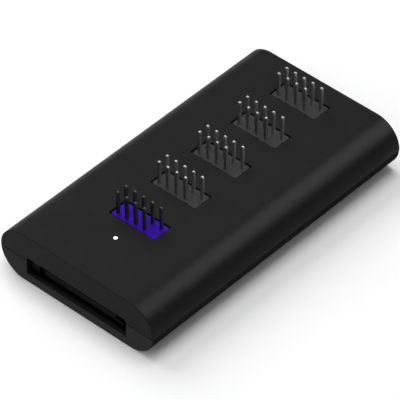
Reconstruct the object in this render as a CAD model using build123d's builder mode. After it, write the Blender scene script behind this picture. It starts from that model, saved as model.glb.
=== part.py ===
from build123d import *
import os

# An internal USB hub: a flat plastic case with five pin headers standing through its top.
# X is across the case, Y along it with the power inlet at -Y, Z up from the underside.
# All sizes are in millimetres.

# Case
case_width = 44.1
case_height = 13.1
parting_height = 6.0
shell_wall = 1.5
end_wall = 1.2
end_round = 0.15
seam_bevel = 0.2
lip_height = 0.8
lip_thickness = 0.6
fit_gap = 0.15

# Pin headers
header_count = 5
header_spacing = 13.0
front_header_setback = 20.1
rear_header_setback = 8.2
pitch = 2.54
columns = 5
rows = 2
base_height = 2.54
base_notch = 0.5
base_recess = 0.23
window_gap = 0.2
pin_size = 0.64
pin_above_base = 6.1
pin_tail = 1.5
pin_tip_length = 0.2
pin_tip_size = 0.4
pin_hole = 1.1
pin_hole_sides = 8

# Circuit board
board_thickness = 1.6
board_side_gap = 2.7
board_end_gap = 0.6
board_corner_round = 1.5

# Screws, and the posts that clamp the board between the shells
post_side_setback = 9.0
front_post_setback = 14.6
post_diameter = 6.0
screw_diameter = 2.0
screw_length = 7.8
screw_head_diameter = 3.6
screw_head_height = 1.4
screw_seat_height = 4.0
screw_gap = 0.15
pilot_gap = 0.05
pilot_spare = 0.4
drive_width = 2.0
drive_slot = 0.5
drive_depth = 0.7

# Power inlet and its plug
inlet_width = 29.0
inlet_rise = 1.1
inlet_round = 1.0
plug_depth = 8.6
plug_side_wall = 1.4
plug_floor = 0.6
plug_back_wall = 2.4
tongue_width = 20.57
tongue_thickness = 1.23
tongue_bottom = 3.77
tongue_chamfer = 0.12
tongue_groove = 0.3
tongue_groove_depth = 0.3
key_drop = 0.7
key_reach = 2.45
key_thickness = 0.65
key_leg_width = 0.55
key_leg_length = 1.5
key_round = 0.4
contact_count = 15
contact_pitch = 1.27
contact_width = 0.84
contact_thickness = 0.2
contact_setback = 0.6
contact_foot = 1.6
guide_width = 2.8
guide_round = 1.2
guide_bottom = 2.45

# Status lamp
lamp_setback = 12.5
lamp_diameter = 0.9
lamp_gap = 0.1
lamp_flange = 0.6
led_length = 1.6
led_width = 0.8
led_height = 0.6
led_dome_diameter = 0.7
led_dome_height = 0.15

# Holding magnets
magnet_diameter = 12.0
magnet_thickness = 2.5
front_magnet_setback = 24.0
rear_magnet_setback = 14.0
magnet_rim_width = 1.0
magnet_rim_height = 2.0
magnet_gap = 0.15

# Components soldered under the board
chip_size = 7.0
chip_height = 1.4
chip_leads = 8
chip_lead_pitch = 0.8
chip_lead_width = 0.35
chip_lead_thickness = 0.15
chip_lead_reach = 1.0
chip_lead_foot = 0.5
crystal_size = (3.2, 2.5, 0.75)
crystal_round = 0.4
regulator_size = (3.5, 6.5, 1.6)
regulator_tab_width = 3.0
regulator_lead_width = 0.7
regulator_lead_pitch = 2.3
regulator_lead_reach = 1.7
regulator_lead_thickness = 0.3
inductor_size = (4.0, 4.0, 2.0)
inductor_round = 0.8
fuse_size = (4.5, 3.2, 1.0)
capacitor_size = (1.25, 2.0, 1.0)
resistor_size = (0.8, 1.6, 0.45)
guard_size = (1.6, 2.9, 1.1)
guard_lead_pitch = 0.95
guard_lead_width = 0.4
guard_lead_reach = 0.6
guard_lead_thickness = 0.15

# Where the components lie: from the middle or the side of the board, a header, or the chip
part_offset = 8.8
chip_side_setback = 5.6
power_side_setback = 4.6
fuse_advance = 1.5
guard_advance = -0.6
crystal_distance = 6.9
chip_capacitor_steps = [(0, 6.9), (2.2, 6.9), (3.8, -6.9), (-3.4, -6.9)]

# Levels and places that follow from the sizes above
case_length = front_header_setback + (header_count - 1) * header_spacing + rear_header_setback
front = -case_length / 2
rear = case_length / 2
ceiling = case_height - shell_wall
board_top = case_height - base_recess - base_height
board_bottom = board_top - board_thickness
board_length = case_length - 2 * (end_wall + board_end_gap)
board_width = case_width - 2 * (shell_wall + board_side_gap)
header_length = columns * pitch
header_width = rows * pitch
header_places = [front + front_header_setback + i * header_spacing for i in range(header_count)]
power_row = header_places[0] + header_spacing / 2
chip_row = power_row + header_spacing
chip_offset = board_width / 2 - chip_side_setback
power_offset = board_width / 2 - power_side_setback
chip_place = (chip_offset, chip_row)
crystal_place = (chip_offset, chip_row - crystal_distance)
fuse_place = (chip_offset, header_places[0] + fuse_advance)
regulator_place = (-power_offset, power_row)
inductor_place = (-power_offset, chip_row)
pin_bottom = board_bottom - pin_tail
pin_top = board_top + base_height + pin_above_base
post_offset = case_width / 2 - post_side_setback
post_rows = (front + front_post_setback, header_places[-1] - header_spacing / 2)
post_places = [(side * post_offset, y) for side in (-1, 1) for y in post_rows]
lamp_place = (0, front + lamp_setback)
lamp_bottom = board_top + led_height + led_dome_height + lamp_gap
magnet_places = [(0, front + front_magnet_setback), (0, rear - rear_magnet_setback)]
plug_bottom = shell_wall + fit_gap
inlet_bottom = plug_bottom + plug_floor
inlet_top = parting_height + inlet_rise
plug_front = front + end_wall
plug_back = plug_front + plug_depth
plug_width = inlet_width + 2 * plug_side_wall
cavity_depth = plug_depth - plug_back_wall

os.makedirs("parts", exist_ok=True)


def finish(part, label):
    """Name a finished piece and write it to its own file."""
    part.label = label
    export_step(part, f"parts/{label}.step")


def case_section(inset):
    """Draw the case across its length: flat top and bottom, with half-round sides."""
    with BuildSketch() as section:
        with Locations((0, case_height / 2)):
            SlotOverall(case_width - 2 * inset, case_height - 2 * inset)
    return section.sketch


def inlet_outline():
    """Draw the power inlet on the front: the top corner at +X is round, the rest are square."""
    with BuildSketch() as outline:
        with Locations((0, inlet_bottom)):
            Rectangle(inlet_width, inlet_top - inlet_bottom, align=(Align.CENTER, Align.MIN))
        fillet(outline.vertices().group_by(Axis.Y)[-1].sort_by(Axis.X)[-1], inlet_round)
    return outline.sketch


def pin_grid():
    """Give the pin places of one header: the front row lacks its last pin, as the key."""
    x_places = [(i - (columns - 1) / 2) * pitch for i in range(columns)]
    y_places = [(j - (rows - 1) / 2) * pitch for j in range(rows)]
    key = (x_places[-1], y_places[0])
    return [(x, y) for x in x_places for y in y_places if (x, y) != key]


def header_base(label, y):
    """Mould one header base: pitch-long blocks in a row, with notches between them."""
    with BuildPart() as base:
        with BuildSketch(Plane.XY.offset(board_top)):
            with Locations((0, y)):
                Rectangle(header_length, header_width)
                with GridLocations(pitch, header_width, columns + 1, 2):
                    Rectangle(base_notch, base_notch, rotation=45, mode=Mode.SUBTRACT)
                with GridLocations(header_length, pitch, 2, rows - 1):
                    Rectangle(base_notch, base_notch, rotation=45, mode=Mode.SUBTRACT)
                with Locations(*pin_grid()):
                    Rectangle(pin_size, pin_size, mode=Mode.SUBTRACT)
        extrude(amount=base_height)
    finish(base.part, label)


def header_pins(label, y):
    """Set the pins of one header in their grid."""
    with BuildPart() as pins:
        with Locations(*[(x, y + step, pin_bottom) for x, step in pin_grid()]):
            add(pin.part)
    finish(pins.part, label)


def contact_side():
    """Draw one power contact from its side: blade, riser behind the plug, foot on the board."""
    start = plug_front + contact_setback
    riser = plug_back + contact_thickness
    end = plug_back + contact_foot
    blade_top = tongue_bottom + contact_thickness
    foot_bottom = board_bottom - contact_thickness
    with BuildSketch() as side:
        with BuildLine():
            Polyline(
                (start, tongue_bottom),
                (riser, tongue_bottom),
                (riser, foot_bottom),
                (end, foot_bottom),
                (end, board_bottom),
                (plug_back, board_bottom),
                (plug_back, blade_top),
                (start, blade_top),
                close=True,
            )
        make_face()
    return side.sketch


def board_blocks(places, size):
    """Add blocks that hang from the underside of the board."""
    with Locations(*[(x, y, board_bottom) for x, y in places]):
        Box(*size, align=(Align.CENTER, Align.CENTER, Align.MAX))


# The groove round the seam, as a frame with a bevelled inside
with BuildPart() as seam_groove:
    seam_plane = Plane.XY.offset(parting_height)
    with BuildSketch(seam_plane):
        Rectangle(case_width + case_height, case_length + case_height)
    extrude(amount=seam_bevel, both=True)
    for direction in (-1, 1):
        with BuildSketch(seam_plane):
            Rectangle(case_width - 2 * seam_bevel, case_length - 2 * seam_bevel)
        extrude(amount=direction * seam_bevel, taper=-45, mode=Mode.SUBTRACT)

# The whole hollow case, before it is parted into two shells
with BuildPart() as case_blank:
    with BuildSketch(Plane.XZ):
        add(case_section(0))
    extrude(amount=case_length / 2, both=True)
    fillet(case_blank.faces().filter_by(Axis.Y).edges(), end_round)
    with BuildSketch(Plane.XZ):
        add(case_section(shell_wall))
    extrude(amount=case_length / 2 - end_wall, both=True, mode=Mode.SUBTRACT)
    add(seam_groove.part, mode=Mode.SUBTRACT)

# Top shell, with a window for each header, the lamp hole, and four posts down to the board
with BuildPart() as top_shell:
    add(case_blank.part)
    split(bisect_by=Plane.XY.offset(parting_height), keep=Keep.TOP)
    with BuildSketch(Plane.XY.offset(board_top)):
        with Locations(*post_places):
            Circle(post_diameter / 2)
    extrude(amount=ceiling - board_top)
    with BuildSketch(Plane.XY.offset(board_top)):
        with Locations(*post_places):
            Circle(screw_diameter / 2 + pilot_gap)
    extrude(amount=screw_seat_height + screw_length + pilot_spare - board_top, mode=Mode.SUBTRACT)
    with BuildSketch(Plane.XY.offset(ceiling)):
        with Locations(*[(0, y) for y in header_places]):
            Rectangle(header_length + 2 * window_gap, header_width + 2 * window_gap)
        with Locations(lamp_place):
            Circle((lamp_diameter + lamp_gap) / 2)
    extrude(amount=shell_wall, mode=Mode.SUBTRACT)
    with BuildSketch(Plane.XZ.offset(-front)):
        add(inlet_outline())
    extrude(amount=-end_wall, mode=Mode.SUBTRACT)
finish(top_shell.part, "top_shell")

# Bottom shell, with a lip inside the seam, four screw posts and two magnet rims
with BuildPart() as bottom_shell:
    add(case_blank.part)
    split(bisect_by=Plane.XY.offset(parting_height), keep=Keep.BOTTOM)
    lip_width = case_width - 2 * (shell_wall + fit_gap)
    lip_length = case_length - 2 * (end_wall + fit_gap)
    lip_inside = (lip_width - 2 * lip_thickness, lip_length - 2 * lip_thickness)
    with BuildSketch(Plane.XY.offset(parting_height - lip_height)):
        Rectangle(case_width - shell_wall, case_length - end_wall)
        Rectangle(*lip_inside, mode=Mode.SUBTRACT)
    extrude(amount=lip_height)
    with BuildSketch(Plane.XY.offset(parting_height)):
        Rectangle(lip_width, lip_length)
        Rectangle(*lip_inside, mode=Mode.SUBTRACT)
    extrude(amount=lip_height)
    with BuildSketch(Plane.XY.offset(shell_wall)):
        with Locations((0, plug_front)):
            Rectangle(plug_width + 2 * fit_gap, plug_depth, align=(Align.CENTER, Align.MIN))
    extrude(amount=parting_height + lip_height - shell_wall, mode=Mode.SUBTRACT)
    with BuildSketch(Plane.XY.offset(shell_wall / 2)):
        with Locations(*post_places):
            Circle(post_diameter / 2)
    extrude(amount=board_bottom - shell_wall / 2)
    with BuildSketch(Plane.XY.offset(shell_wall)):
        with Locations(*magnet_places):
            Circle(magnet_diameter / 2 + magnet_gap + magnet_rim_width)
            Circle(magnet_diameter / 2 + magnet_gap, mode=Mode.SUBTRACT)
    extrude(amount=magnet_rim_height)
    with Locations(*[Location((x, y, 0), (180, 0, 0)) for x, y in post_places]):
        CounterBoreHole(
            radius=screw_diameter / 2 + screw_gap,
            counter_bore_radius=screw_head_diameter / 2 + screw_gap,
            counter_bore_depth=screw_seat_height,
            depth=board_bottom,
        )
    with BuildSketch(Plane.XZ.offset(-front)):
        add(inlet_outline())
    extrude(amount=-end_wall, mode=Mode.SUBTRACT)
finish(bottom_shell.part, "bottom_shell")

# Circuit board, with holes for the pins and the screws
with BuildPart() as circuit_board:
    with BuildSketch(Plane.XY.offset(board_bottom)) as board_outline:
        Rectangle(board_width, board_length)
        fillet(board_outline.vertices(), board_corner_round)
        with Locations(*post_places):
            Circle(screw_diameter / 2 + screw_gap, mode=Mode.SUBTRACT)
        for header_y in header_places:
            with Locations((0, header_y)):
                with Locations(*pin_grid()):
                    RegularPolygon(pin_hole / 2, pin_hole_sides, mode=Mode.SUBTRACT)
    extrude(amount=board_thickness)
finish(circuit_board.part, "circuit_board")

# One header pin, square and drawn to a blunt point at both ends
with BuildPart() as pin:
    Box(pin_size, pin_size, pin_top - pin_bottom, align=(Align.CENTER, Align.CENTER, Align.MIN))
    for end in (0, -1):
        tip = pin.faces().sort_by(Axis.Z)[end]
        inset = (pin_size - pin_tip_size) / 2
        chamfer(tip.edges(), length=inset, length2=pin_tip_length, reference=tip)

# Headers: the one nearest the power inlet is the input, the rest are outputs
for number, header_y in enumerate(header_places):
    name = "output_header" if number else "input_header"
    suffix = f"_{number}" if number else ""
    header_base(f"{name}_base{suffix}", header_y)
    header_pins(f"{name}_pins{suffix}", header_y)

# Power contacts, side by side under the tongue of the plug
with BuildPart() as power_plug_contacts:
    for i in range(contact_count):
        contact_x = (i - (contact_count - 1) / 2) * contact_pitch
        with BuildSketch(Plane.YZ.offset(contact_x)):
            add(contact_side())
        extrude(amount=contact_width / 2, both=True)
finish(power_plug_contacts.part, "power_plug_contacts")

# Power plug housing: a shroud round the grooved tongue, with its hooked key and a guide post
with BuildPart() as power_plug_housing:
    with BuildSketch(Plane.XZ.offset(-plug_front)):
        with Locations((0, plug_bottom)):
            Rectangle(plug_width, board_bottom - plug_bottom, align=(Align.CENTER, Align.MIN))
    extrude(amount=-plug_depth)
    with BuildSketch(Plane.XZ.offset(-plug_front)):
        add(inlet_outline())
    extrude(amount=-cavity_depth, mode=Mode.SUBTRACT)
    with BuildSketch(Plane.XZ.offset(-plug_front)):
        with Locations((0, tongue_bottom)):
            Rectangle(tongue_width, tongue_thickness, align=(Align.CENTER, Align.MIN))
    extrude(amount=-cavity_depth)
    tongue_level = tongue_bottom + tongue_thickness
    tongue_edges = power_plug_housing.edges().filter_by(Axis.X).group_by(Axis.Y)[0]
    tongue_edges = tongue_edges.filter_by_position(Axis.Z, tongue_bottom - 0.01, tongue_level + 0.01)
    chamfer(tongue_edges, tongue_chamfer)
    with BuildSketch(Plane.XZ.offset(-plug_front)):
        with Locations((0, tongue_bottom + tongue_thickness / 2)):
            Rectangle(tongue_width, tongue_groove)
    extrude(amount=-tongue_groove_depth, mode=Mode.SUBTRACT)
    with BuildSketch(Plane.XZ.offset(-plug_front)) as key_outline:
        with Locations((tongue_width / 2, tongue_level - key_drop)):
            Rectangle(key_reach, key_thickness, align=(Align.MIN, Align.MAX))
        with Locations((tongue_width / 2 + key_reach, tongue_level - key_drop)):
            Rectangle(key_leg_width, key_leg_length, align=(Align.MAX, Align.MAX))
        fillet(key_outline.vertices().group_by(Axis.Z)[-1].sort_by(Axis.X)[-1], key_round)
    extrude(amount=-cavity_depth)
    with BuildSketch(Plane.XZ.offset(-plug_front)) as guide_outline:
        with Locations((-inlet_width / 2, guide_bottom)):
            Rectangle(guide_width, inlet_top - guide_bottom, align=(Align.MIN, Align.MIN))
        fillet(guide_outline.vertices().group_by(Axis.Z)[0], guide_round)
    extrude(amount=-cavity_depth)
    add(power_plug_contacts.part, mode=Mode.SUBTRACT)
finish(power_plug_housing.part, "power_plug_housing")

# Status lamp: the diode on the board, and the light pipe from it to the top of the case
with BuildPart() as status_led:
    with BuildSketch(Plane.XY.offset(board_top)):
        with Locations(lamp_place):
            Rectangle(led_length, led_width)
    extrude(amount=led_height)
    with BuildSketch(Plane.XY.offset(board_top + led_height)):
        with Locations(lamp_place):
            Circle(led_dome_diameter / 2)
    extrude(amount=led_dome_height)
finish(status_led.part, "status_led")

with BuildPart() as light_pipe:
    with BuildSketch(Plane.XY.offset(lamp_bottom)):
        with Locations(lamp_place):
            Circle(lamp_diameter / 2 + lamp_flange)
    extrude(amount=ceiling - lamp_bottom)
    with BuildSketch(Plane.XY.offset(ceiling)):
        with Locations(lamp_place):
            Circle(lamp_diameter / 2)
    extrude(amount=shell_wall)
finish(light_pipe.part, "light_pipe")

# Magnets that hold the case to steel, on the floor inside their rims
for place, label in zip(magnet_places, ("front_magnet", "rear_magnet")):
    with BuildPart() as magnet:
        with BuildSketch(Plane.XY.offset(shell_wall)):
            with Locations(place):
                Circle(magnet_diameter / 2)
        extrude(amount=magnet_thickness)
    finish(magnet.part, label)

# Case screws, from below: flat heads with a cross recess, and plain shanks
with BuildPart() as case_screws:
    with BuildSketch(Plane.XY.offset(screw_seat_height)):
        with Locations(*post_places):
            Circle(screw_diameter / 2)
    extrude(amount=screw_length)
    with BuildSketch(Plane.XY.offset(screw_seat_height - screw_head_height)):
        with Locations(*post_places):
            Circle(screw_head_diameter / 2)
    extrude(amount=screw_head_height)
    with BuildSketch(Plane.XY.offset(screw_seat_height - screw_head_height)):
        with Locations(*post_places):
            Rectangle(drive_width, drive_slot)
            Rectangle(drive_slot, drive_width)
    extrude(amount=drive_depth, mode=Mode.SUBTRACT)
finish(case_screws.part, "case_screws")

# Hub controller: a square chip with bent leads along its four sides
with BuildPart() as hub_controller_chip:
    board_blocks([chip_place], (chip_size, chip_size, chip_height))
    lead_top = chip_size / 2 + chip_lead_reach
    lead_knee = lead_top - chip_lead_foot
    lead_level = board_bottom - chip_height / 2
    with BuildPart(mode=Mode.PRIVATE) as lead_row:
        for i in range(chip_leads):
            lead_y = (i - (chip_leads - 1) / 2) * chip_lead_pitch
            with BuildSketch(Plane.XZ.offset(-lead_y)):
                with BuildLine():
                    Polyline(
                        (0, lead_level),
                        (lead_knee, lead_level),
                        (lead_knee, board_bottom - chip_lead_thickness),
                        (lead_top, board_bottom - chip_lead_thickness),
                        (lead_top, board_bottom),
                        (lead_knee - chip_lead_thickness, board_bottom),
                        (lead_knee - chip_lead_thickness, lead_level + chip_lead_thickness),
                        (0, lead_level + chip_lead_thickness),
                        close=True,
                    )
                make_face()
            extrude(amount=chip_lead_width / 2, both=True)
    with Locations(*[Location((*chip_place, 0), (0, 0, 90 * turn)) for turn in range(4)]):
        add(lead_row.part)
finish(hub_controller_chip.part, "hub_controller_chip")

# Crystal in its metal can
with BuildPart() as crystal:
    board_blocks([crystal_place], crystal_size)
    fillet(crystal.edges().filter_by(Axis.Z), crystal_round)
finish(crystal.part, "crystal")

# Voltage regulator, with a wide tab on one side and three leads on the other
with BuildPart() as voltage_regulator:
    regulator_x, regulator_y = regulator_place
    board_blocks([regulator_place], regulator_size)
    lead_x = regulator_x + regulator_size[0] / 2 + regulator_lead_reach / 2
    tab_x = regulator_x - regulator_size[0] / 2 - regulator_lead_reach / 2
    lead_places = [(lead_x, regulator_y + i * regulator_lead_pitch) for i in (-1, 0, 1)]
    board_blocks(lead_places, (regulator_lead_reach, regulator_lead_width, regulator_lead_thickness))
    board_blocks([(tab_x, regulator_y)], (regulator_lead_reach, regulator_tab_width, regulator_lead_thickness))
finish(voltage_regulator.part, "voltage_regulator")

# Inductor, a moulded block with rounded corners
with BuildPart() as inductor:
    board_blocks([inductor_place], inductor_size)
    fillet(inductor.edges().filter_by(Axis.Z), inductor_round)
finish(inductor.part, "inductor")

# Input fuse
with BuildPart() as input_fuse:
    board_blocks([fuse_place], fuse_size)
finish(input_fuse.part, "input_fuse")

# Ceramic capacitors, one beside each header and the rest round the chip
with BuildPart() as capacitors:
    board_blocks([(-part_offset, y + pitch) for y in header_places], capacitor_size)
    board_blocks([(chip_offset + x, chip_row + y) for x, y in chip_capacitor_steps], capacitor_size)
finish(capacitors.part, "capacitors")

# Series resistors, two beside each header behind the chip
with BuildPart() as resistors:
    for step in (0, pitch):
        board_blocks([(part_offset, y + step) for y in header_places[2:]], resistor_size)
finish(resistors.part, "resistors")

# Surge guards, one beside each header on the data lines
with BuildPart() as surge_guards:
    guard_places = [(-part_offset, y + guard_advance) for y in header_places]
    board_blocks(guard_places, guard_size)
    guard_span = guard_size[0] + 2 * guard_lead_reach
    for i in (-1, 0, 1):
        lead_places = [(x, y + i * guard_lead_pitch) for x, y in guard_places]
        board_blocks(lead_places, (guard_span, guard_lead_width, guard_lead_thickness))
finish(surge_guards.part, "surge_guards")
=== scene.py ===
import math

import bmesh
import bpy
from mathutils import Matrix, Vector


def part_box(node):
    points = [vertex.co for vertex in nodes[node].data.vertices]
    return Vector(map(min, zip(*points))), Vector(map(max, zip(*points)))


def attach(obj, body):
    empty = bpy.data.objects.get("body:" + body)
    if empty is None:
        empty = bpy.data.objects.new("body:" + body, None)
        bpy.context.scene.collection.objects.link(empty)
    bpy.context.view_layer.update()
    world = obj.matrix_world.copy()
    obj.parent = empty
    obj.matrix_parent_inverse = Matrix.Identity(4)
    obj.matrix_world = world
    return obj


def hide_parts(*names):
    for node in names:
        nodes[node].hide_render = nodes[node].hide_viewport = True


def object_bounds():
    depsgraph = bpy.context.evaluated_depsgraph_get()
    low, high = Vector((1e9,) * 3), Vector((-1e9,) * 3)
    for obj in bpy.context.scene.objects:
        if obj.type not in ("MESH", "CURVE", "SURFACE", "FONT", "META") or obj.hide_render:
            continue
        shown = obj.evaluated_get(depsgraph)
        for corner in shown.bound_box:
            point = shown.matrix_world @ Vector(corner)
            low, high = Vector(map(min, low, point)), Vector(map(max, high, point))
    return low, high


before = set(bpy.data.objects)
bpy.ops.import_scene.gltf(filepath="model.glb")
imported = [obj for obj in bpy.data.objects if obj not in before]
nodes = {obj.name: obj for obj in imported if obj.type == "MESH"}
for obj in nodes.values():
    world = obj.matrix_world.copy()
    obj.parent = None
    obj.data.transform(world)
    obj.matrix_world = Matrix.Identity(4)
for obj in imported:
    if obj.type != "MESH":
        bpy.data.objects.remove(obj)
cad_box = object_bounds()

# An internal USB hub on a white studio floor. Lengths are in millimetres until they are used, and MM
# turns them to Blender's metres.
MM = 0.001


# Helpers

def linear(hex_colour):
    """Turn an sRGB hex colour into the linear values that the shaders take."""
    parts = [int(hex_colour[start:start + 2], 16) / 255 for start in (1, 3, 5)]
    return [c / 12.92 if c <= 0.04045 else ((c + 0.055) / 1.055) ** 2.4 for c in parts] + [1.0]


def add_node(tree, kind, settings=None, sockets=None):
    """Add a shader node with its settings, and link or set its sockets."""
    node = tree.nodes.new(kind)
    for name, value in (settings or {}).items():
        setattr(node, name, value)
    for name, value in (sockets or {}).items():
        if isinstance(value, bpy.types.NodeSocket):
            tree.links.new(value, node.inputs[name])
        else:
            node.inputs[name].default_value = value
    return node


def make_material(name, surface, **look):
    """Make a material from a surface, a function that gives the sockets of its shader."""
    material = bpy.data.materials.new(name)
    material.use_nodes = True
    tree = material.node_tree
    tree.nodes.clear()
    place = add_node(tree, "ShaderNodeTexCoord").outputs["Object"]
    shader = add_node(tree, "ShaderNodeBsdfPrincipled", sockets=surface(tree, place, **look))
    add_node(tree, "ShaderNodeOutputMaterial", sockets={"Surface": shader.outputs["BSDF"]})
    return material


def add_object(name, mesh, material):
    """Put a mesh into the scene as an object with one material."""
    mesh.materials.append(material)
    made = bpy.data.objects.new(name, mesh)
    bpy.context.scene.collection.objects.link(made)
    return made


# Patterns that several surfaces share. The two colours of a patch blend between its edges.
PATCH_EDGES = (0.35, 0.65)


def mottle(tree, place, patch, dark, light):
    """Mix two close colours in soft patches of a size in millimetres."""
    noise = add_node(tree, "ShaderNodeTexNoise", sockets={
        "Vector": place, "Scale": 1 / (patch * MM), "Detail": 3.0})
    ramp = add_node(tree, "ShaderNodeValToRGB", sockets={"Fac": noise.outputs["Fac"]})
    for stop, edge, colour in zip(ramp.color_ramp.elements, PATCH_EDGES, (dark, light)):
        stop.position = edge
        stop.color = linear(colour)
    return ramp.outputs["Color"]


def uneven_skin(tree, texture, depth, strength, roughness, variation):
    """Give the relief of a texture, its depth in millimetres, and a roughness that varies with it."""
    relief = add_node(tree, "ShaderNodeBump", sockets={
        "Height": texture, "Distance": depth * MM, "Strength": strength})
    varied = add_node(tree, "ShaderNodeMapRange", sockets={
        "Value": texture, "To Min": roughness - variation, "To Max": roughness + variation})
    return {"Roughness": varied.outputs["Result"], "Normal": relief.outputs["Normal"]}


def painted_light_band(tree, place, colour, axis, middle, half, factor):
    """Paint light or shade into a colour, a factor lighter or darker, on the faces that look along the
    case.

    It does so in a band: where the place on an axis is within half of the middle, in millimetres.
    """
    where = add_node(tree, "ShaderNodeSeparateXYZ", sockets={"Vector": place})
    normal = add_node(tree, "ShaderNodeTexCoord").outputs["Normal"]
    facing = add_node(tree, "ShaderNodeSeparateXYZ", sockets={"Vector": normal})
    along = add_node(tree, "ShaderNodeMath", {"operation": "ABSOLUTE"}, {0: facing.outputs["Y"]})
    inside = add_node(tree, "ShaderNodeMath", {"operation": "COMPARE"}, {
        0: where.outputs[axis], 1: middle * MM, 2: half * MM})
    share = add_node(tree, "ShaderNodeMath", {"operation": "MULTIPLY"}, {
        0: along.outputs["Value"], 1: inside.outputs["Value"]})
    value = add_node(tree, "ShaderNodeMapRange", sockets={
        "Value": share.outputs["Value"], "To Min": 1.0, "To Max": factor})
    toned = add_node(tree, "ShaderNodeHueSaturation", sockets={
        "Color": colour, "Value": value.outputs["Result"]})
    return toned.outputs["Color"]


# Surfaces, one for each way that they are made. A drawing mark is this many times as long as wide.
MARK_LENGTH = 12.5


def moulded_plastic(tree, place, dark, light, grain, depth, roughness, gloss=0.5, bands=()):
    """Moulded plastic: the pits of a spark-eroded tool break up its gloss.

    A gloss of 0.5 is that of clean plastic in the open. Bands paint light or shade on some faces.
    """
    colour = mottle(tree, place, patch=5.0, dark=dark, light=light)
    for band in bands:
        colour = painted_light_band(tree, place, colour, **band)
    pits = add_node(tree, "ShaderNodeTexNoise", sockets={
        "Vector": place, "Scale": 1 / (grain * MM), "Detail": 2.0})
    skin = uneven_skin(tree, pits.outputs["Fac"], depth, strength=0.6,
                       roughness=roughness, variation=0.05)
    return {"Base Color": colour, "Specular IOR Level": gloss, **skin}


def plated_metal(tree, place, dark, light, grain, roughness, depth=0.002):
    """Plated metal: faint drawing marks run up and down it, so its shine streaks."""
    stretched = add_node(tree, "ShaderNodeMapping", sockets={
        "Vector": place, "Scale": (1.0, 1.0, 1 / MARK_LENGTH)})
    marks = add_node(tree, "ShaderNodeTexNoise", sockets={
        "Vector": stretched.outputs["Vector"], "Scale": 1 / (grain * MM), "Detail": 2.0})
    skin = uneven_skin(tree, marks.outputs["Fac"], depth, strength=0.4,
                       roughness=roughness, variation=0.05)
    colour = mottle(tree, place, patch=1.5, dark=dark, light=light)
    return {"Base Color": colour, "Metallic": 1.0, **skin}


def fired_ceramic(tree, place, dark, light, speck, roughness, depth=0.01):
    """Fired ceramic: dense specks of two tones under a hard skin."""
    cells = add_node(tree, "ShaderNodeTexVoronoi", sockets={
        "Vector": place, "Scale": 1 / (speck * MM)})
    skin = uneven_skin(tree, cells.outputs["Distance"], depth, strength=0.5,
                       roughness=roughness, variation=0.06)
    colour = mottle(tree, place, patch=speck, dark=dark, light=light)
    return {"Base Color": colour, **skin}


def masked_laminate(tree, place):
    """Glass laminate under black solder mask: the copper tracks show as low ridges in the gloss."""
    tracks = add_node(tree, "ShaderNodeTexBrick", {"offset": 0.5}, {
        "Vector": place, "Scale": 1.0, "Brick Width": 5.0 * MM, "Row Height": 0.9 * MM,
        "Mortar Size": 0.12 * MM, "Mortar Smooth": 0.1,
        "Color1": linear("#16221c"), "Color2": linear("#131d18"), "Mortar": linear("#1f3028")})
    relief = add_node(tree, "ShaderNodeBump", sockets={
        "Height": tracks.outputs["Fac"], "Distance": 0.03 * MM, "Strength": 0.6})
    return {"Base Color": tracks.outputs["Color"], "Roughness": 0.28,
            "Normal": relief.outputs["Normal"]}


def lit_resin(tree, place):
    """Clear white resin lit from below: it glows evenly and its skin has a soft gloss."""
    colour = mottle(tree, place, patch=0.8, dark="#f2f3f5", light="#ffffff")
    return {"Base Color": colour, "Roughness": 0.35,
            "Emission Color": linear("#ffffff"), "Emission Strength": 0.9}


def studio_paper(tree, place, bounce):
    """White paper: it stays white to the edge of the picture and keeps the soft shadow.

    It throws back less light than it shows, by the factor bounce, so the case stays dark low down.
    """
    path = add_node(tree, "ShaderNodeLightPath")
    value = add_node(tree, "ShaderNodeMapRange", sockets={
        "Value": path.outputs["Is Diffuse Ray"], "To Min": 1.0, "To Max": bounce})
    paper = add_node(tree, "ShaderNodeHueSaturation", sockets={
        "Color": mottle(tree, place, patch=60.0, dark="#fdfdfd", light="#ffffff"),
        "Value": value.outputs["Result"]})
    return {"Base Color": paper.outputs["Color"], "Roughness": 1.0, "Specular IOR Level": 0.0}


# Bands of painted light and shade on the faces that look along the case: a painted shadow darkens the
# seam, and painted light makes the ends of the lower shell and the tongue of the plug lighter
SEAM_HEIGHT = 6.0
SEAM_HALF_WIDTH = 0.13
TONGUE_REACH = 10.8

seam_painted_shadow = {"axis": "Z", "middle": SEAM_HEIGHT, "half": SEAM_HALF_WIDTH, "factor": 0.2}
end_painted_light = {"axis": "X", "middle": 0.0, "half": cad_box[1].x / MM, "factor": 1.85}
tongue_painted_light = {"axis": "X", "middle": 0.0, "half": TONGUE_REACH, "factor": 6.5}

# Materials. The real pits of moulded plastic are about 0.1 mm wide, and drawing marks and ceramic
# grains are finer still. They would be too fine to show, so they are drawn at 0.12 to 0.6 mm.

# Matt black ABS from a spark-eroded tool: an even dark grey with hardly any shine, and a painted shadow
# in the seam on its end faces
case_abs = make_material(
    "black_abs_spark_textured", moulded_plastic, dark="#1d1d1d", light="#202020",
    grain=0.45, depth=0.012, roughness=0.41, gloss=0.05, bands=[seam_painted_shadow])
# The lower shell is the same ABS with no shine at all. Painted light makes its end faces lighter, and a
# painted shadow darkens the seam on them
base_abs = make_material(
    "black_abs_matt", moulded_plastic, dark="#323232", light="#353535",
    grain=0.45, depth=0.012, roughness=0.45, gloss=0.0, bands=[end_painted_light, seam_painted_shadow])
# Moulded glass-filled nylon of the header bases: a low sheen on a slightly uneven skin
violet_nylon = make_material(
    "violet_glass_filled_nylon", moulded_plastic, dark="#34099a", light="#390ca1",
    grain=0.6, depth=0.01, roughness=0.35, gloss=0.06)
grey_nylon = make_material(
    "grey_glass_filled_nylon", moulded_plastic, dark="#393939", light="#3d3d3d",
    grain=0.6, depth=0.01, roughness=0.35, gloss=0.06)
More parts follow.
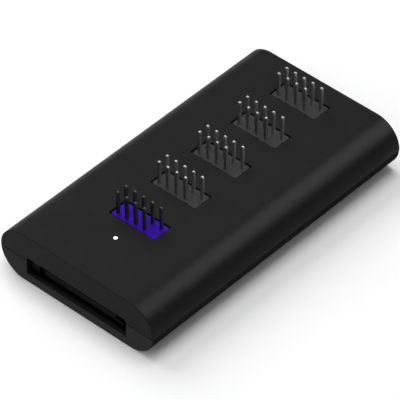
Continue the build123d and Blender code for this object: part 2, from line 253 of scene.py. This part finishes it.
# Moulded black nylon of the plug: nearly black and dull, deep in its inlet. Painted light makes the
# front of its tongue lighter
plug_nylon = make_material(
    "black_glass_filled_nylon", moulded_plastic, dark="#0a0a0a", light="#0d0d0d",
    grain=0.5, depth=0.01, roughness=0.38, gloss=0.035, bands=[tongue_painted_light])
# The plug's lip is the same nylon, rubbed greyer by what is plugged in and pulled out
lip_nylon = make_material(
    "rubbed_black_nylon", moulded_plastic, dark="#232323", light="#282828",
    grain=0.5, depth=0.01, roughness=0.5, gloss=0.1)
# Moulded epoxy of the chips: matt black with a fine grain
chip_epoxy = make_material(
    "moulded_black_epoxy", moulded_plastic, dark="#141414", light="#191919",
    grain=0.3, depth=0.01, roughness=0.5)
# Dipped polymer coat of the fuse: an even green with a soft gloss
fuse_coating = make_material(
    "green_polymer_coating", moulded_plastic, dark="#1a5029", light="#1f5a2f",
    grain=0.4, depth=0.01, roughness=0.4)
# Tin plated on drawn brass: grey and a little soft, white where it faces the light
tin_plate = make_material(
    "tin_plated_brass", plated_metal, dark="#b6b7b9", light="#c2c3c5", grain=0.12, roughness=0.36)
# The same tin painted darker on the pins of the input header, a painted shade for the dark surroundings
# that these pins reflect: a dull grey with little shine
shaded_tin_plate = make_material(
    "darkened_tin_plated_brass", plated_metal, dark="#48484b", light="#545457",
    grain=0.12, roughness=0.54)
# Gold plated on stamped bronze: a warm, smooth shine
gold_plate = make_material(
    "gold_plated_bronze", plated_metal, dark="#c79a3e", light="#d4a94e", grain=0.15, roughness=0.2)
# Nickel plated on a sintered magnet: a bright, faintly warm shine
nickel_plate = make_material(
    "nickel_plated_magnet", plated_metal, dark="#b0afac", light="#bcbbb8", grain=0.4, roughness=0.16)
# Drawn nickel silver of the crystal's can: pale, with soft streaks
can_steel = make_material(
    "drawn_nickel_silver_can", plated_metal, dark="#b9b9b9", light="#c5c5c5",
    grain=0.25, roughness=0.3, depth=0.003)
# Black zinc plated on the steel screws: dark, with a low metallic shine
screw_zinc = make_material(
    "black_zinc_plated_steel", plated_metal, dark="#2a2b2d", light="#333436",
    grain=0.2, roughness=0.34, depth=0.003)
# Sintered ferrite of the inductor: nearly black, dull and finely speckled
sintered_ferrite = make_material(
    "sintered_ferrite", fired_ceramic, dark="#202021", light="#29292a", speck=0.3, roughness=0.6)
# Fired barium titanate of the capacitors: brown with a soft gloss
capacitor_body = make_material(
    "fired_barium_titanate", fired_ceramic, dark="#8a6a48", light="#967552",
    speck=0.35, roughness=0.4)
# Glazed alumina of the resistors: black with a smoother gloss
resistor_body = make_material(
    "glazed_alumina_black", fired_ceramic, dark="#121213", light="#191919",
    speck=0.35, roughness=0.3)
board_mask = make_material("fr4_laminate_solder_mask", masked_laminate)
lamp_resin = make_material("lit_white_resin", lit_resin)

OUTPUT_HEADERS = 4

finishes = {
    "top_shell": case_abs,
    "bottom_shell": base_abs,
    "circuit_board": board_mask,
    "input_header_base": violet_nylon,
    "input_header_pins": shaded_tin_plate,
    "light_pipe": lamp_resin,
    "status_led": lamp_resin,
    "power_plug_housing": plug_nylon,
    "power_plug_contacts": gold_plate,
    "hub_controller_chip": chip_epoxy,
    "voltage_regulator": chip_epoxy,
    "surge_guards": chip_epoxy,
    "crystal": can_steel,
    "inductor": sintered_ferrite,
    "input_fuse": fuse_coating,
    "capacitors": capacitor_body,
    "resistors": resistor_body,
    "front_magnet": nickel_plate,
    "rear_magnet": nickel_plate,
    "case_screws": screw_zinc,
}
for number in range(1, OUTPUT_HEADERS + 1):
    finishes[f"output_header_base_{number}"] = grey_nylon
    finishes[f"output_header_pins_{number}"] = tin_plate
for name, node in nodes.items():
    for material_slot in node.material_slots:
        material_slot.material = finishes[name]


# Header bases: finer notches between their blocks than the CAD ones, softened edges, and a little
# trimmed off their sides, so that the gap round them shows as a dark line
BLOCKS_ACROSS = 5
BLOCKS_DEEP = 2
NOTCH = 0.24
TRIM = 0.1
EDGE_BEVEL = 0.06


def notched_side(start, end, blocks):
    """Give the points of one side of a header base, with a V notch between its blocks."""
    along = (end - start).normalized()
    inward = Vector((-along.y, along.x))
    notch = NOTCH * MM
    points = [start + along * notch]
    for number in range(1, blocks):
        middle = start + (end - start) * number / blocks
        points += [middle - along * notch, middle + inward * notch, middle + along * notch]
    return points + [end - along * notch]


def notched_base(name):
    """Make a header base as a mesh piece in the place of the CAD one, trimmed on its four sides."""
    low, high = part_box(name)
    left, near = low.x + TRIM * MM, low.y + TRIM * MM
    right, far = high.x - TRIM * MM, high.y - TRIM * MM
    corners = [Vector(pair) for pair in ((left, near), (right, near), (right, far), (left, far))]
    sides = zip(corners, corners[1:] + corners[:1], (BLOCKS_ACROSS, BLOCKS_DEEP) * 2)
    outline = []
    for start, end, blocks in sides:
        outline += notched_side(start, end, blocks)
    shape = bmesh.new()
    bottom = shape.faces.new([shape.verts.new((point.x, point.y, low.z)) for point in outline])
    risen = bmesh.ops.extrude_face_region(shape, geom=[bottom], use_keep_orig=True)["geom"]
    raised = [item for item in risen if isinstance(item, bmesh.types.BMVert)]
    bmesh.ops.translate(shape, vec=(0, 0, high.z - low.z), verts=raised)
    bmesh.ops.recalc_face_normals(shape, faces=shape.faces)
    rim = [edge for edge in shape.edges if all(vertex in raised for vertex in edge.verts)]
    bmesh.ops.bevel(shape, geom=rim, offset=EDGE_BEVEL * MM, segments=2, profile=0.5, affect="EDGES")
    mesh = bpy.data.meshes.new(f"{name}_block")
    shape.to_mesh(mesh)
    shape.free()
    piece = add_object(f"{name}_block", mesh, finishes[name])
    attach(piece, "root")
    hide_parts(name)


for name in finishes:
    if "header_base" in name:
        notched_base(name)


# Plug lip: the black shroud of the plug lines the inlet up to the front face of the case
INLET_WIDTH = 29.0
INLET_BOTTOM = 2.25
INLET_TOP = 7.1
LIP_WALL = 0.06


def inlet_ring(inset, y):
    """Give the four corners of the inlet in metres, inset from its walls, at a place along the case."""
    side, low, high = INLET_WIDTH / 2 - inset, INLET_BOTTOM + inset, INLET_TOP - inset
    return [(x * MM, y, z * MM) for x, z in ((-side, low), (side, low), (side, high), (-side, high))]


def plug_lip():
    """Make the rim of the lip on the front face, and its walls from there back to the plug."""
    front = cad_box[0].y
    plug_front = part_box("power_plug_housing")[0].y
    points = inlet_ring(0.0, front) + inlet_ring(LIP_WALL, front) + inlet_ring(LIP_WALL, plug_front)
    outer, inner, back = range(0, 4), range(4, 8), range(8, 12)
    faces = []
    for ring, next_ring in ((outer, inner), (inner, back)):
        for here, following in ((0, 1), (1, 2), (2, 3), (3, 0)):
            faces.append((ring[here], ring[following], next_ring[following], next_ring[here]))
    mesh = bpy.data.meshes.new("plug_shroud_lip")
    mesh.from_pydata(points, [], faces)
    lip = add_object("plug_shroud_lip", mesh, lip_nylon)
    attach(lip, "root")


plug_lip()


# Floor: a hair under the case, so that their faces don't lie in one plane
FLOOR_HALF = 2000.0
FLOOR_HEIGHT = -0.01
FLOOR_BOUNCE = 0.25


def studio_floor():
    """Lay the white paper under the hub."""
    half, height = FLOOR_HALF * MM, FLOOR_HEIGHT * MM
    corners = [(x * half, y * half, height) for x, y in ((-1, -1), (1, -1), (1, 1), (-1, 1))]
    mesh = bpy.data.meshes.new("studio_floor")
    mesh.from_pydata(corners, [], [(0, 1, 2, 3)])
    paper = make_material("white_studio_paper", studio_paper, bounce=FLOOR_BOUNCE)
    floor = add_object("studio_floor", mesh, paper)


studio_floor()


# Lights: soft lamps round the hub, and air that lights it more than it shows in its gloss
HUB_FOOT = (0, 0, 0)
PIN_TIPS = (0, 6, 19)
AIR_SHOWN = 0.12
AIR_LIGHT = 0.32


def softbox(name, place, width, height, power, aim=HUB_FOOT):
    """Hang an area lamp at a place, aimed at a point, all in millimetres; power is in watts."""
    lamp = bpy.data.lights.new(name, "AREA")
    lamp.shape = "RECTANGLE"
    lamp.size = width * MM
    lamp.size_y = height * MM
    lamp.energy = power
    holder = bpy.data.objects.new(name, lamp)
    holder.location = Vector(place) * MM
    direction = (Vector(aim) - Vector(place)).normalized()
    holder.rotation_euler = direction.to_track_quat("-Z", "Y").to_euler()
    bpy.context.scene.collection.objects.link(holder)
    return holder


def studio_air():
    """Fill the world with even white light."""
    world = bpy.data.worlds.new("studio_air")
    world.use_nodes = True
    tree = world.node_tree
    tree.nodes.clear()
    path = add_node(tree, "ShaderNodeLightPath")
    strength = add_node(tree, "ShaderNodeMapRange", sockets={
        "Value": path.outputs["Is Diffuse Ray"], "To Min": AIR_SHOWN, "To Max": AIR_LIGHT})
    air = add_node(tree, "ShaderNodeBackground", sockets={
        "Color": linear("#ffffff"), "Strength": strength.outputs["Result"]})
    add_node(tree, "ShaderNodeOutputWorld", sockets={"Surface": air.outputs["Background"]})
    bpy.context.scene.world = world


softbox("left_softbox", place=(-568, 80, 556), width=560, height=560, power=3.25)
softbox("overhead_softbox", place=(20, 70, 893), width=500, height=500, power=3.15)
# The front lamp only lightens the shade and adds no shine
front_fill = softbox("front_softbox", place=(-60, -730, 470), width=560, height=560, power=1.15)
front_fill.visible_glossy = False
# These two only add shine: the first on what leans to the right, the second on what lies flat
rear = softbox("rear_softbox", place=(321, 534, 615), width=640, height=640, power=10.7)
rear.visible_diffuse = False
card = softbox("reflector_card", place=(-428, 490, 594), width=160, height=220, power=0.29,
               aim=PIN_TIPS)
card.visible_diffuse = False
studio_air()


# Camera: a long lens, from the front right and above, with its turn in degrees
CAMERA_PLACE = (427.80, -477.70, 593.87)
CAMERA_TURN = (47.44573, -0.09138, 41.98232)
SENSOR_WIDTH = 36.0
FOCAL_LENGTH = 360.78
FARTHEST_SEEN = 10000.0

lens = bpy.data.cameras.new("camera")
lens.sensor_width = SENSOR_WIDTH
lens.lens = FOCAL_LENGTH
lens.clip_end = FARTHEST_SEEN * MM
camera = bpy.data.objects.new("camera", lens)
camera.location = Vector(CAMERA_PLACE) * MM
camera.rotation_euler = [math.radians(angle) for angle in CAMERA_TURN]
bpy.context.scene.collection.objects.link(camera)
bpy.context.scene.camera = camera
bpy.context.scene.view_settings.view_transform = "Standard"
